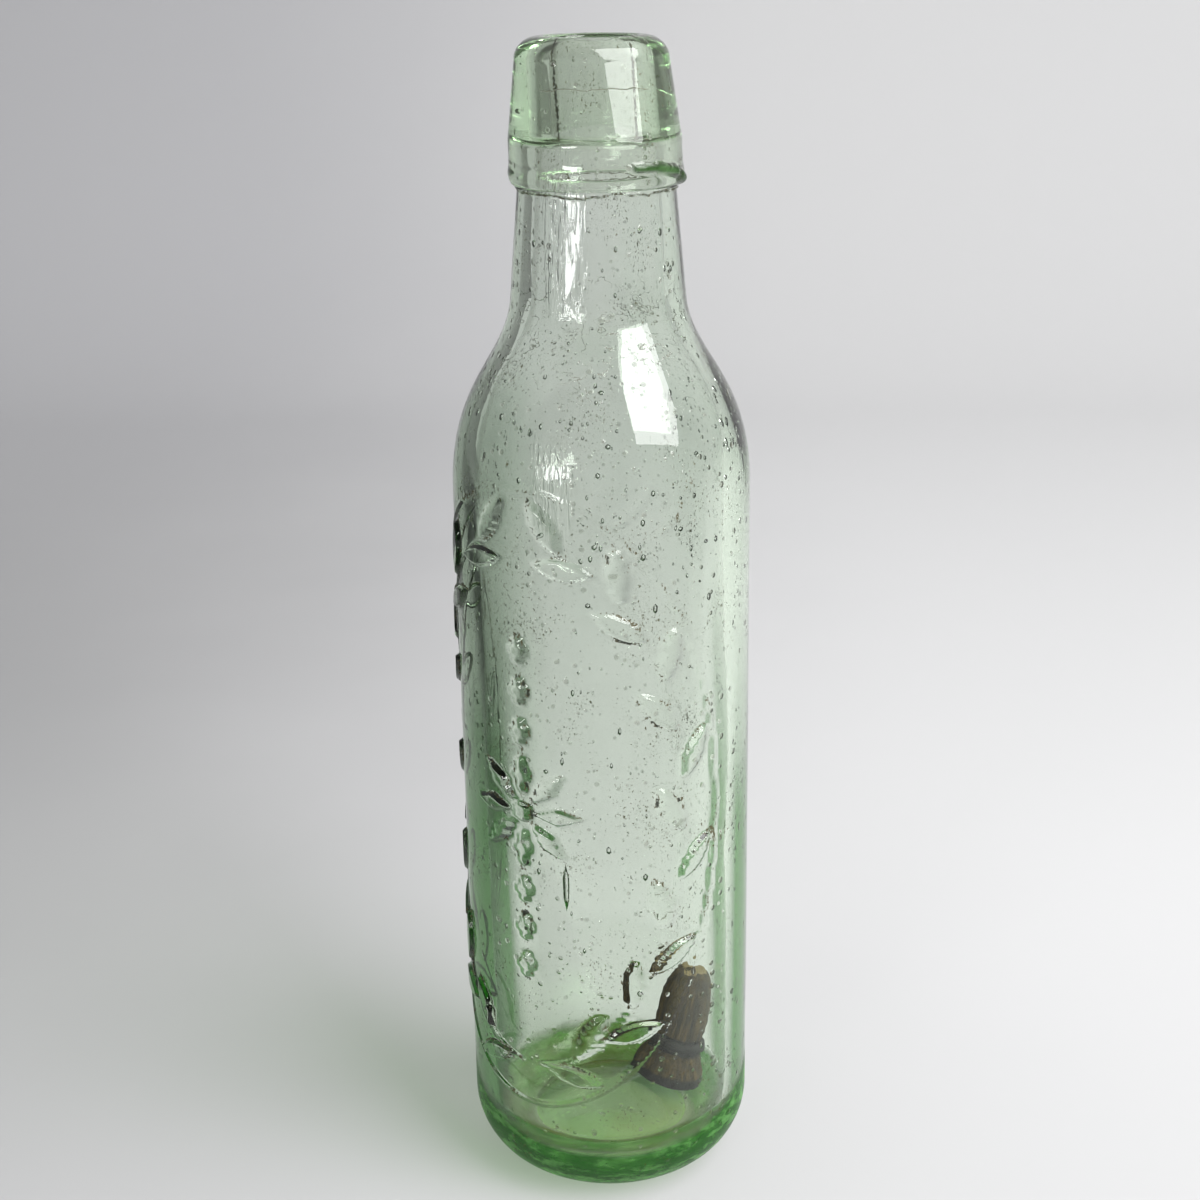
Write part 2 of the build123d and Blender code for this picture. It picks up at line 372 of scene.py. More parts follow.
def onWall(vertex):
    # how far round from the ornament's middle and how far up from it
    turned = (atan2(vertex.y, vertex.x) - radians(wreath["azimuth"]) + pi) % (2 * pi) - pi
    return turned * bottleGlass["bodyRadius"], vertex.z - wreath["height"]


def splitFaces(piece):
    # every face in four, so that the ornament's edges come out fine
    deselectAll()
    piece.select_set(True)
    bpy.context.view_layer.objects.active = piece
    bpy.ops.object.mode_set(mode="EDIT")
    bpy.ops.mesh.select_all(action="SELECT")
    bpy.ops.mesh.subdivide(number_cuts=1)
    bpy.ops.mesh.select_all(action="DESELECT")
    bpy.ops.object.mode_set(mode="OBJECT")


# How the hand-worked glass departs from a turned shape
flow = {
    "outerSwell": 0.14 * mm,
    "innerSwell": 0.34 * mm,
    "swellSize": 24 * mm,
    "lipLean": (-0.021, 0.04),      # the lip was tooled a little crooked, to the left and back
    "ledgeWave": 0.3 * mm,
    "filmDepth": 0.4 * mm,          # the lip's glass ran this thick below the collar
    "rollOut": 0.28 * mm,           # the collar bulges a little above its foot
    "rollMiddle": 2.4 * mm, "rollWidth": 1.3 * mm,
    "foldOut": 0.8 * mm,
    "flatAzimuth": -63, "flatWidth": 34, "flatSlope": 0.062,    # where the lip was pressed flatter
}
# the fold in the collar's glass: ends of its ridges, in degrees and in mm above the collar's foot,
# and their half widths in mm; one degree is 0.29 mm there
foldRidges = ((-64, 4.3, -46, 4.0, 0.75), (-46, 4.0, -28, 3.1, 1.1), (-21, 2.1, -12, 0.9, 1.2))


def foldAt(angle, z):
    # 1 on the crest of the fold, 0 away from it
    across = ((degrees(angle) + 180) % 360 - 180) * 0.29
    up = (z - bottleGlass["collarFoot"]) / mm
    return max(exp(-(gapToStretch(across, up, a1 * 0.29, z1, a2 * 0.29, z2) / half) ** 4)
               for a1, z1, a2, z2, half in foldRidges)


def isOutside(r, z):
    g = bottleGlass
    if z < g["floorHeight"] * 0.6:
        return True
    if z > g["ledgeHeight"] + 0.1 * mm:
        return r > g["mouthRadius"] + 1.2 * mm
    if z < 18 * mm:
        return r > g["bodyRadius"] - g["wall"] + 0.5 * mm
    if z < g["shoulderFoot"]:
        return r > g["bodyRadius"] - g["wall"] / 2
    return r > wallMiddle(z)


def wallMiddle(z):
    g = bottleGlass
    if z >= g["shoulderTop"]:
        share = (z - g["shoulderTop"]) / (g["ledgeHeight"] - g["shoulderTop"])
        outer = g["neckRadius"] + (g["throatRadius"] + g["throatWall"] - g["neckRadius"]) * share
        inner = g["neckRadius"] - g["neckWall"]
        inner += (g["throatRadius"] - inner) * share
        return (outer + inner) / 2
    share = (z - g["shoulderFoot"]) / (g["shoulderTop"] - g["shoulderFoot"])
    fall = smoothStep(0, 1, share ** 1.25)
    return g["bodyRadius"] - g["wall"] / 2 - (g["bodyRadius"] - g["neckRadius"]) * fall


def filmEdge(angle):
    # how far below the collar the ragged film reaches
    spot = Vector((cos(angle), sin(angle), 0))
    return 0.7 * mm + 0.6 * mm * noise.noise(spot * 2.2) + 0.4 * mm * noise.noise(spot * 9)


def shapeGlass(piece):
    g, f = bottleGlass, flow
    for vertex in piece.data.vertices:
        x, y, z = vertex.co
        r = hypot(x, y)
        if r < 0.5 * mm:
            continue
        angle = atan2(y, x)
        spot = Vector((x, y, z * 0.55)) / f["swellSize"]
        if isOutside(r, z):
            swell = noise.noise(spot + Vector((7, 0, 0))) * smoothStep(0, 12 * mm, z)
            push = f["outerSwell"] * (swell - 0.4)
            if z < g["shoulderFoot"] + 8 * mm and r > g["bodyRadius"] - wreath["depth"]:
                push += reliefAt(*onWall(vertex.co))
            below = g["collarFoot"] - z
            if 0.05 * mm < below < 4 * mm:
                push += f["filmDepth"] * (1 - smoothStep(-0.2 * mm, 0.2 * mm, below - filmEdge(angle)))
            if z > g["ledgeHeight"]:
                turned = (degrees(angle) - f["flatAzimuth"] + 180) % 360 - 180
                push -= f["flatSlope"] * (z - g["ledgeHeight"]) * exp(-(turned / f["flatWidth"]) ** 2)
            if below < 0.05 * mm and z < g["ledgeHeight"]:
                push += f["foldOut"] * foldAt(angle, z)
                push += f["rollOut"] * exp(-((below + f["rollMiddle"]) / f["rollWidth"]) ** 2)
        else:
            push = f["innerSwell"] * noise.noise(spot + Vector((0, 9, 0)))
            push *= smoothStep(g["floorHeight"] + 10 * mm, g["floorHeight"] + 30 * mm, z)
            if z > g["ledgeHeight"] - 2 * mm:
                push *= 0.4
            if abs(z - g["ledgeHeight"]) < 0.1 * mm:
                z += f["ledgeWave"] * noise.noise(Vector((cos(angle) * 1.3, sin(angle) * 1.3, 6)))
        r2 = r + push
        lean = [max(0, z - g["collarFoot"]) * slope for slope in f["lipLean"]]
        vertex.co = (x * r2 / r + lean[0], y * r2 / r + lean[1], z)


# degrees from +X of the dirt lines in the bore, at the ledge and at the top
boreLines = ((-132, -146), (-41, -37))


def grimeAt(angle, r, z):
    # dirt gathers in two lines down the bore, in the film's edge and along the moulded edges
    g = bottleGlass
    if z > g["ledgeHeight"] - 2 * mm and r < g["mouthRadius"] + 1.6 * mm:
        up = (z - g["ledgeHeight"]) / (g["topHeight"] - g["ledgeHeight"])
        middles = [low + (high - low) * up for low, high in boreLines]
        away = min(abs((degrees(angle) - middle + 180) % 360 - 180) for middle in middles)
        return 0.85 - 0.8 * smoothStep(1.2, 3.2, away)
    if r > g["throatRadius"] + 1.5 * mm and abs(g["collarFoot"] - z - filmEdge(angle)) < 0.25 * mm:
        return 0.7
    if abs(z - wreath["height"]) < wreath["reach"] and r > g["bodyRadius"] - 2 * mm:
        s, t = onWall(Vector((r * cos(angle), r * sin(angle), z)))
        patchy = 0.4 + 1.1 * noise.noise(Vector((s, t, 0)) / (5 * mm))
        along = 1 - smoothStep(0.15 * mm, 0.45 * mm, abs(edgeGap(s, t) - 0.3 * mm))
        fine = 0.6 * (1 - smoothStep(0.3 * mm, 0.7 * mm, lineGap(s, t)))
        return max(along, fine) * max(patchy, 0.12)
    return 0.0


def hazeAt(r, z):
    # a brown film on the inner floor
    g = bottleGlass
    if z < g["floorHeight"] - 0.5 * mm or r > g["bodyRadius"] - g["wall"] * 0.6:
        return 0.0
    return 1 - smoothStep(10.5 * mm, 19 * mm, z)


def paintGlass(piece):
    g = bottleGlass
    names = ("grime", "haze", "fold", "worn", "outer")
    for name in names:
        piece.data.attributes.new(name, "FLOAT", "POINT")
    values = {name: piece.data.attributes[name] for name in names}
    for k, vertex in enumerate(piece.data.vertices):
        x, y, z = vertex.co
        angle, r = atan2(y, x), hypot(x, y)
        values["grime"].data[k].value = grimeAt(angle, r, z)
        values["haze"].data[k].value = hazeAt(r, z)
        values["outer"].data[k].value = float(isOutside(r, z)) * smoothStep(15 * mm, 21 * mm, r)
        values["worn"].data[k].value = float(z < 3 * mm and r < g["bodyRadius"] - g["heelRadius"] + 1 * mm)
        if g["collarFoot"] - 0.1 * mm < z < g["ledgeHeight"] and r > g["throatRadius"] + 2 * mm:
            values["fold"].data[k].value = foldAt(angle, z)


def makeGlass():
    g = bottleGlass
    piece = traceProfile("bottleGlass", glassOutline())
    start = wreath["azimuth"] - g["reliefSpan"]
    span = 2 * g["reliefSpan"]
    rest = 360 - span
    before = round(g["coarseSteps"] * start / rest)
    spinRound([(start, before), (span, g["denseSteps"]),
               (rest - start, g["coarseSteps"] - before)])
    splitFaces(piece)
    shapeGlass(piece)
    paintGlass(piece)
    return piece


# Seeds: small bubbles trapped in the wall, each a closed shell turned to face the glass
seedBubbles = {
    "count": 680,
    "smallest": 0.13 * mm,
    "largest": 0.62 * mm,
    "spindle": (-107, 75 * mm, 5.2 * mm, 0.8 * mm),     # degrees, height, half length, half width
}


def outerRadiusAt(z):
    g = bottleGlass
    if z < g["shoulderFoot"]:
        return g["bodyRadius"]
    if z >= g["shoulderTop"]:
        return wallMiddle(z) + g["neckWall"] / 2
    return wallMiddle(z) + g["wall"] / 2


def makeSeeds():
    s, g = seedBubbles, bottleGlass
    random.seed(11)
    deselectAll()
    bpy.ops.mesh.primitive_ico_sphere_add(subdivisions=1, radius=1)
    bpy.ops.object.shade_smooth()
    bpy.ops.object.mode_set(mode="EDIT")
    bpy.ops.mesh.select_all(action="SELECT")
    bpy.ops.mesh.flip_normals()
    bpy.ops.object.mode_set(mode="OBJECT")
    pattern = bpy.context.object
    seeds = []
    for k in range(s["count"]):
        dense = random.random()
        z = random.uniform(142, 176) * mm if dense < 0.45 else random.uniform(24, 205) * mm
        angle = random.uniform(0, 2 * pi)
        size = s["smallest"] + (s["largest"] - s["smallest"]) * random.random() ** 3
        depth = random.uniform(0.25, 0.75)
        wall = g["wall"] if z < g["shoulderFoot"] else g["neckWall"]
        r = outerRadiusAt(z) - wall * depth
        stretchUp = random.uniform(0.8, 1.9)
        seeds.append((angle, r, z, size, size * stretchUp))
    a, z, halfLength, halfWidth = s["spindle"]
    seeds.append((radians(a), g["bodyRadius"] - g["wall"] * 0.45, z, halfWidth, halfLength))
    for angle, r, z, across, up in seeds:
        seed = bpy.data.objects.new("seed", pattern.data.copy())
        bpy.context.collection.objects.link(seed)
        place = Matrix.Translation((r * cos(angle), r * sin(angle), z))
        shape = Matrix.Diagonal((across * 0.8, across, up, 1))
        seed.data.transform(place @ Matrix.Rotation(angle, 4, "Z") @ shape)
        seed.select_set(True)
    pattern.select_set(False)
    bpy.data.objects.remove(pattern)


# Materials
def newMaterial(name):
    material = bpy.data.materials.new(name)
    material.use_nodes = True
    tree = material.node_tree
    tree.nodes.clear()
    output = tree.nodes.new("ShaderNodeOutputMaterial")
    surface = tree.nodes.new("ShaderNodeBsdfPrincipled")
    tree.links.new(surface.outputs[0], output.inputs["Surface"])
    coords = tree.nodes.new("ShaderNodeTexCoord").outputs["Object"]
    return material, tree, surface, coords, output


def splitPlace(tree, coords):
    separate = tree.nodes.new("ShaderNodeSeparateXYZ")
    tree.links.new(coords, separate.inputs[0])
    return separate.outputs


def readAttribute(tree, name):
    attribute = tree.nodes.new("ShaderNodeAttribute")
    attribute.attribute_name = name
    return attribute.outputs["Fac"]


def addNoise(tree, coords, scale, detail=3, roughness=0.5, stretched=(1, 1, 1), moved=(0, 0, 0)):
    mapping = tree.nodes.new("ShaderNodeMapping")
    mapping.inputs["Scale"].default_value = stretched
    mapping.inputs["Location"].default_value = moved
    tree.links.new(coords, mapping.inputs["Vector"])
    texture = tree.nodes.new("ShaderNodeTexNoise")
    texture.inputs["Scale"].default_value = scale
    texture.inputs["Detail"].default_value = detail
    texture.inputs["Roughness"].default_value = roughness
    tree.links.new(mapping.outputs[0], texture.inputs["Vector"])
    return texture.outputs["Fac"]


def addRamp(tree, source, stops):
    ramp = tree.nodes.new("ShaderNodeValToRGB")
    while len(ramp.color_ramp.elements) < len(stops):
        ramp.color_ramp.elements.new(0.5)
    for element, (place, colour) in zip(ramp.color_ramp.elements, stops):
        element.position = place
        element.color = (*colour, 1)
    tree.links.new(source, ramp.inputs["Fac"])
    return ramp.outputs["Color"]


def addMath(tree, operation, *values):
    node = tree.nodes.new("ShaderNodeMath")
    node.operation = operation
    for socket, value in zip(node.inputs, values):
        if isinstance(value, (int, float)):
            socket.default_value = value
        else:
            tree.links.new(value, socket)
    return node.outputs[0]


def addProduct(tree, value, *factors):
    for factor in factors:
        value = addMath(tree, "MULTIPLY", value, factor)
    return value


def addMost(tree, value, *others):
    for other in others:
        value = addMath(tree, "MAXIMUM", value, other)
    return value


def addAway(tree, value, middle):
    return addMath(tree, "ABSOLUTE", addMath(tree, "SUBTRACT", value, middle))


def addSpan(tree, source, fromLow, fromHigh, toLow=0.0, toHigh=1.0):
    # a smooth change of one value with another
    node = tree.nodes.new("ShaderNodeMapRange")
    node.interpolation_type = "SMOOTHSTEP"
    values = (fromLow, fromHigh, toLow, toHigh)
    for name, value in zip(("From Min", "From Max", "To Min", "To Max"), values):
        node.inputs[name].default_value = value
    tree.links.new(source, node.inputs["Value"])
    return node.outputs[0]


def addFall(tree, source, fromLow, fromHigh):
    return addSpan(tree, source, fromLow, fromHigh, 1.0, 0.0)


def addBand(tree, source, start, whole, fading, end):
    return addProduct(tree, addSpan(tree, source, start, whole), addFall(tree, source, fading, end))


def addMix(tree, factor, a, b):
    node = tree.nodes.new("ShaderNodeMix")
    node.data_type = "RGBA"
    tree.links.new(factor, node.inputs["Factor"])
    for socket, value in ((node.inputs[6], a), (node.inputs[7], b)):
        if isinstance(value, tuple):
            socket.default_value = (*value, 1)
        else:
            tree.links.new(value, socket)
    return node.outputs[2]


def mixShaders(tree, factor, a, b):
    node = tree.nodes.new("ShaderNodeMixShader")
    for socket, value in zip(node.inputs, (factor, a, b)):
        tree.links.new(value, socket)
    return node.outputs[0]


def addBump(tree, height, strength, distance, under=None):
    bump = tree.nodes.new("ShaderNodeBump")
    bump.inputs["Strength"].default_value = strength
    bump.inputs["Distance"].default_value = distance
    tree.links.new(height, bump.inputs["Height"])
    if under is not None:
        tree.links.new(under, bump.inputs["Normal"])
    return bump.outputs[0]


aquaGlass = {
    "ior": 1.51,
    "absorbed": (0.36, 0.885, 0.2),
    "density": 20.0,                # per metre of glass
    "dirt": (0.085, 0.07, 0.03), "soot": (0.012, 0.014, 0.009),
    "veil": (0.32, 0.32, 0.27),
    "film": (0.23, 0.23, 0.055),
    "worn": (0.55, 0.6, 0.5),
    "fold": (0.035, 0.11, 0.02),
    # the heel: a tint that is partly the thick glass's colour and partly painted shade, and an opaque coat
    # that paints its glow
    "heelDeep": (0.004, 0.12, 0.001), "heelPale": (0.16, 0.6, 0.08),
    "heelGlowPaint": (0.018, 0.14, 0.008), "heelGlowPaintPale": (0.15, 0.44, 0.1),
    "foot": (0.4, 0.85, 0.15),
    "edge": (0.035, 0.16, 0.025),
    # painted shade: the glass is darker on the left side
    "left": (0.69, 0.74, 0.69),
    "cloud": (0.87, 0.9, 0.875),
    "shadowTint": (0.82, 0.82, 0.815), "footShadow": (0.68, 0.92, 0.6),
    # heights between which each of these grows, fades, or does the one and then the other
    "heelEnd": (12.5 * mm, 16.5 * mm),
    "edgeEnd": (105 * mm, 165 * mm),
    "cloudStart": (120 * mm, 180 * mm),
    "lipStart": (208 * mm, 213 * mm),
    "chillBand": (168 * mm, 178 * mm, 190 * mm, 196 * mm),
    # heights of the painted shade on the left
    "leftBand": (45 * mm, 90 * mm, 165 * mm, 187 * mm),
    "neckBand": (185 * mm, 191 * mm, 213 * mm, 215 * mm),
    "shoulderBand": (147 * mm, 153 * mm, 162 * mm, 168 * mm),
    "neckDrag": -5.6 * mm, "shoulderDrag": -9 * mm,         # where the drag marks' middles lie, across
    "heelRagged": 5 * mm, "heelLift": -12 * mm, "edgeRagged": 50 * mm,
    "crackHeight": 229.2 * mm, "crackWander": 1.6 * mm, "crackHalf": 0.07 * mm,
}


def addPits(tree, coords, scale, share, radius):
    # scattered round dimples: one in some of the cells of a Voronoi pattern
    cells = tree.nodes.new("ShaderNodeTexVoronoi")
    cells.inputs["Scale"].default_value = scale
    tree.links.new(coords, cells.inputs["Vector"])
    parts = tree.nodes.new("ShaderNodeSeparateColor")
    tree.links.new(cells.outputs["Color"], parts.inputs[0])
    chosen = addMath(tree, "LESS_THAN", parts.outputs[0], share)
    size = addMath(tree, "MULTIPLY_ADD", parts.outputs[1], radius, radius * 0.35)
    near = addMath(tree, "DIVIDE", cells.outputs["Distance"], size)
    return addProduct(tree, addFall(tree, near, 0.35, 1.0), chosen)


def addDirt(tree, coords, pits):
    # fine specks, thick where the grime value is high and in loose patches elsewhere
    specks = addNoise(tree, coords, 2100, 3, 0.6, (1, 1, 0.7))
    patches = addSpan(tree, addNoise(tree, coords, 75, 4, 0.6), 0.45, 0.75, 0.0, 0.14)
    loaded = addMath(tree, "MULTIPLY_ADD", readAttribute(tree, "grime"), 0.36, patches)
    dirt = addSpan(tree, addMath(tree, "ADD", specks, loaded), 0.69, 0.78, 0.0, 0.92)
    return addMost(tree, dirt, addProduct(tree, pits, 0.35))


def addChecks(tree, coords, height):
    # thin wandering lines under the neck, where the glass cooled too fast
    wander = addAway(tree, addNoise(tree, coords, 95, 4, 0.55, (1, 1, 1.5), (0, 5, 2)), 0.5)
    broken = addSpan(tree, addNoise(tree, coords, 160, 2, 0.5, (1, 1, 1), (2, 2, 2)), 0.5, 0.6)
    return addProduct(tree, addFall(tree, wander, 0.0, 0.006), broken,
                      addBand(tree, height, *aquaGlass["chillBand"]))


def addCrack(tree, coords, place):
    # one hairline across the front of the lip
    look = aquaGlass
    half = look["crackHalf"]
    wander = addNoise(tree, coords, 230)
    line = addMath(tree, "MULTIPLY_ADD", wander, look["crackWander"], look["crackHeight"])
    return addProduct(tree, addFall(tree, addAway(tree, place[2], line), half * 0.4, half * 1.6),
                      addFall(tree, addAway(tree, place[0], 0.0), 9 * mm, 11.5 * mm),
                      addFall(tree, place[1], -10.5 * mm, -9.5 * mm))


def addHeel(tree, coords, place, facing):
    # 1 low on the outside, to a ragged edge that stands higher where the wall is seen edge on; it places the
    # heel's painted glow and shade
    look = aquaGlass
    rough = addNoise(tree, coords, 110, 4, 0.6, (1, 1, 2))
    depth = addMath(tree, "MULTIPLY_ADD", rough, look["heelRagged"], place[2])
    depth = addMath(tree, "MULTIPLY_ADD", facing, look["heelLift"], depth)
    heel = addProduct(tree, readAttribute(tree, "outer"), addFall(tree, depth, *look["heelEnd"]))
    return heel, addSpan(tree, rough, 0.44, 0.72)


def addDeposit(tree, coords, place, facing, heel, dirt, lines):
    # how much of the glass is covered, and the colour of what covers it; low on the heel the cover is an
    # opaque green that paints the glow of light through the thick glass
    look = aquaGlass
    haze, fold, worn = [readAttribute(tree, name) for name in ("haze", "fold", "worn")]
    spots = addMost(tree, dirt, lines)
    veil = addSpan(tree, addNoise(tree, coords, 45, 5, 0.7, (1, 1, 0.6), (3, 1, 0)), 0.42, 0.75, 0.0, 0.035)
    scratched = addProduct(tree, addSpan(tree, place[2], *look["lipStart"], 0.0, 0.14),
                           addNoise(tree, coords, 420, 5, 0.65, (1, 1, 0.35)))
    film = addProduct(tree, haze, addSpan(tree, addNoise(tree, coords, 60, 4), 0.35, 0.7, 0.2, 0.48))
    # painted glow: an opaque green coat on the heel, thicker where the heel is seen edge on
    heelGlowCover = addProduct(tree, heel, addSpan(tree, facing, 0.15, 0.65, 0.36, 0.58))
    covered = addMost(tree, spots, veil, scratched, film, heelGlowCover, addProduct(tree, fold, 0.35),
                      addProduct(tree, worn, 0.4))
    streaks = addSpan(tree, addNoise(tree, coords, 190, 5, 0.62, (1, 1, 2.2), (1, 4, 4)), 0.46, 0.66)
    black = addSpan(tree, readAttribute(tree, "grime"), 0.6, 0.8)
    tone = addMix(tree, addSpan(tree, haze, 0.0, 0.2), look["veil"], look["film"])
    tone = addMix(tree, fold, tone, look["fold"])
    tone = addMix(tree, heel, tone, addMix(tree, streaks, look["heelGlowPaint"], look["heelGlowPaintPale"]))
    tone = addMix(tree, worn, tone, look["worn"])
    tone = addMix(tree, spots, tone, addMix(tree, black, look["dirt"], look["soot"]))
    return covered, tone


def addTint(tree, coords, place, facing, heel, heelPale):
    # the glass's own colour where it is thick: the fold, the heel, and the wall seen edge on low down; the
    # heel's tint is also painted shade of the floor under the bottle, and the left side is darkened as
    # painted shade
    look = aquaGlass
    cloud = addNoise(tree, coords, 42, 4, 0.55, (1, 1, 0.5), (5, 5, 1))
    cloudy = addProduct(tree, addSpan(tree, cloud, 0.4, 0.7),
                        addSpan(tree, place[2], *look["cloudStart"], 0.1, 1.0))
    # painted shade: the glass is darker on the left, between the heights of leftBand
    left = addProduct(tree, addFall(tree, place[0], -25 * mm, -11 * mm),
                      addBand(tree, place[2], *look["leftBand"]))
    leftShadeEdge = addSpan(tree, place[0], -20 * mm, 10 * mm, 0.12, 0.0)      # painted shade: on the left the dark edge reaches farther in
    edge = addSpan(tree, addMath(tree, "ADD", facing, leftShadeEdge), 0.5, 0.66)
    low = addMath(tree, "MULTIPLY_ADD", cloud, look["edgeRagged"], place[2])
    edge = addProduct(tree, edge, addFall(tree, low, *look["edgeEnd"]))
    tone = addMix(tree, cloudy, (1.0, 1.0, 1.0), look["cloud"])
    tone = addMix(tree, left, tone, look["left"])
    # the heel's tint: partly the thick glass's colour, partly painted shade of the floor under the bottle
    tone = addMix(tree, heel, tone, addMix(tree, heelPale, look["heelDeep"], look["heelPale"]))
    tone = addMix(tree, readAttribute(tree, "worn"), tone, look["foot"])
    tone = addMix(tree, edge, tone, look["edge"])
    return addMix(tree, readAttribute(tree, "fold"), tone, look["fold"])


def addRelief(tree, coords, place, pits, lines):
    # ripples everywhere, drag marks on the front of the neck and the shoulder, dimples and fine cracks
    look = aquaGlass
    normal = addBump(tree, addNoise(tree, coords, 210, 3, 0.5, (1, 1, 0.22)), 0.3, 0.1 * mm)
    spots = []
    for where in ("neck", "shoulder"):
        near = addFall(tree, addAway(tree, place[0], look[where + "Drag"]), 2.4 * mm, 4.2 * mm)
        spots.append(addProduct(tree, addBand(tree, place[2], *look[where + "Band"]), near))
    drag = addSpan(tree, addNoise(tree, coords, 1300, 2, 0.5, (1, 1, 0.07)), 0.46, 0.64)
    drag = addProduct(tree, drag, addFall(tree, place[1], -8 * mm, -4 * mm), addMath(tree, "ADD", *spots))
    normal = addBump(tree, drag, 1.0, 0.07 * mm, normal)
    normal = addBump(tree, pits, 0.9, 0.12 * mm, normal)
    return addBump(tree, lines, 0.8, 0.1 * mm, normal)


def glassMaterial():
    material, tree, surface, coords, output = newMaterial("aquaGlassMaterial")
    look = aquaGlass
    place = splitPlace(tree, coords)
    weight = tree.nodes.new("ShaderNodeLayerWeight")
    weight.inputs["Blend"].default_value = 0.5
    facing = weight.outputs["Facing"]
    pits = addPits(tree, coords, 520, 0.24, 0.3)
    lines = addMost(tree, addProduct(tree, addChecks(tree, coords, place[2]), 0.7),
                    addProduct(tree, addCrack(tree, coords, place), 0.8))
    heel, heelPale = addHeel(tree, coords, place, facing)
    covered, tone = addDeposit(tree, coords, place, facing, heel, addDirt(tree, coords, pits), lines)

    tree.links.new(addTint(tree, coords, place, facing, heel, heelPale), surface.inputs["Base Color"])
    surface.inputs["Transmission Weight"].default_value = 1.0
    surface.inputs["IOR"].default_value = look["ior"]
    haze = addProduct(tree, readAttribute(tree, "haze"), 0.16)
    rough = addMath(tree, "MULTIPLY_ADD", readAttribute(tree, "worn"), 0.4, haze)
    tree.links.new(rough, surface.inputs["Roughness"])
    tree.links.new(addRelief(tree, coords, place, pits, lines), surface.inputs["Normal"])
    crust = tree.nodes.new("ShaderNodeBsdfPrincipled")
    tree.links.new(tone, crust.inputs["Base Color"])
    crust.inputs["Roughness"].default_value = 0.9
    crust.inputs["Specular IOR Level"].default_value = 0.05
    soiled = mixShaders(tree, covered, surface.outputs[0], crust.outputs[0])

    # light that falls on what is inside or behind passes straight through
    through = tree.nodes.new("ShaderNodeBsdfTransparent")
    tree.links.new(addMix(tree, readAttribute(tree, "worn"), look["shadowTint"], look["footShadow"]),
                   through.inputs["Color"])
    path = tree.nodes.new("ShaderNodeLightPath").outputs
    unbent = addMost(tree, path["Is Shadow Ray"], path["Is Diffuse Ray"])
    tree.links.new(mixShaders(tree, unbent, soiled, through.outputs[0]), output.inputs["Surface"])
    volume = tree.nodes.new("ShaderNodeVolumeAbsorption")
    volume.inputs["Color"].default_value = (*look["absorbed"], 1)
    volume.inputs["Density"].default_value = look["density"]
    tree.links.new(volume.outputs[0], output.inputs["Volume"])
    return material


glass = makeGlass()
makeSeeds()
glass.select_set(True)
bpy.context.view_layer.objects.active = glass
bpy.ops.object.join()
glass.data.materials.clear()
glass.data.materials.append(glassMaterial())
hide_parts("bottle", "applied_lip")
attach(glass, "glass")
print("glass made:", sum(len(face.vertices) - 2 for face in glass.data.polygons), "triangles")


# The stopper: a turned wooden bobbin and its perished rubber ring, in the place that the frame gives them
woodStopper = {
    "length": 26.5 * mm,
    "flange": 8.3 * mm,
    "flangeRim": 1.6 * mm,
    "flangeTop": 8 * mm,
    "waist": 4.7 * mm,
    "nose": 6.2 * mm,
    "noseFoot": 10.4 * mm,
    "noseWidest": 15.2 * mm,
    "noseEnd": 2.3 * mm,            # the nose is cut off flat
    "rimRounding": 0.5 * mm,
    "pitch": 0.45 * mm,
    "lean": 16.3,                   # degrees out from upright
    "azimuth": 18,                  # degrees from +X
    "wear": 0.26 * mm, "sunk": 0.1 * mm,
    "wood": (0.006, 0.004, 0.001), "woodMiddle": (0.04, 0.025, 0.004), "woodPale": (0.12, 0.075, 0.018),
    # the near black of the rim is painted shade, also used for the darker waist
    "scuff": (0.34, 0.3, 0.22), "rimShadeWaistDark": (0.003, 0.002, 0.001), "cut": (0.3, 0.22, 0.1),
    "ragged": 1.2 * mm,             # how far the edges of the dark rim and waist wander
    # painted shade on the rim, and the darker band round the waist
    "rimShade": (2.5 * mm, 3.3 * mm),
    "waistMiddle": 9.6 * mm, "waistDark": (1.4 * mm, 2.3 * mm),
    "cutStart": (26.6 * mm, 27 * mm),
}


def bobbinOutline():
    w = woodStopper
    pitch, rounding = w["pitch"], w["rimRounding"]
    points = [(0, 0)]
    points += stretch(points[-1], (w["flange"] - rounding, 0), 1.2 * mm)
    points += turnArc((w["flange"] - rounding, rounding), rounding, -90, 0, 3)
    points += stretch(points[-1], (w["flange"], w["flangeRim"]), pitch)
    points += bendCurve(points[-1], (w["flange"] - 0.6 * mm, 4 * mm), (w["nose"] + 0.6 * mm, 6 * mm),
                        (w["nose"], w["flangeTop"]), 14)
    for corner in ((w["waist"], w["flangeTop"]), (w["waist"], w["noseFoot"]),
                   (w["nose"] * 0.94, w["noseFoot"]), (w["nose"], w["noseWidest"])):
        points += stretch(points[-1], corner, pitch)
    tip = w["length"] - w["noseWidest"]
    end = w["noseEnd"]
    points += bendCurve(points[-1], (w["nose"], w["noseWidest"] + tip * 0.55),
                        (end + (w["nose"] - end) * 0.55, w["length"]), (end, w["length"]), 26)
    points += stretch(points[-1], (0, w["length"]), pitch)
    return points


def seatPlace(piece, node):
    # leans the piece as the loose stopper leans, then puts its middle where the frame has it
    w = woodStopper
    leaning = Matrix.Rotation(radians(w["azimuth"]), 4, "Z") @ Matrix.Rotation(radians(w["lean"]), 4, "Y")
    piece.data.transform(leaning)
    low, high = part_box(node)
    own = [v.co for v in piece.data.vertices]
    ownMiddle = Vector([(min(c[k] for c in own) + max(c[k] for c in own)) / 2 for k in range(3)])
    place = (low + high) / 2 - ownMiddle
    piece.data.transform(Matrix.Translation(place))
    return place


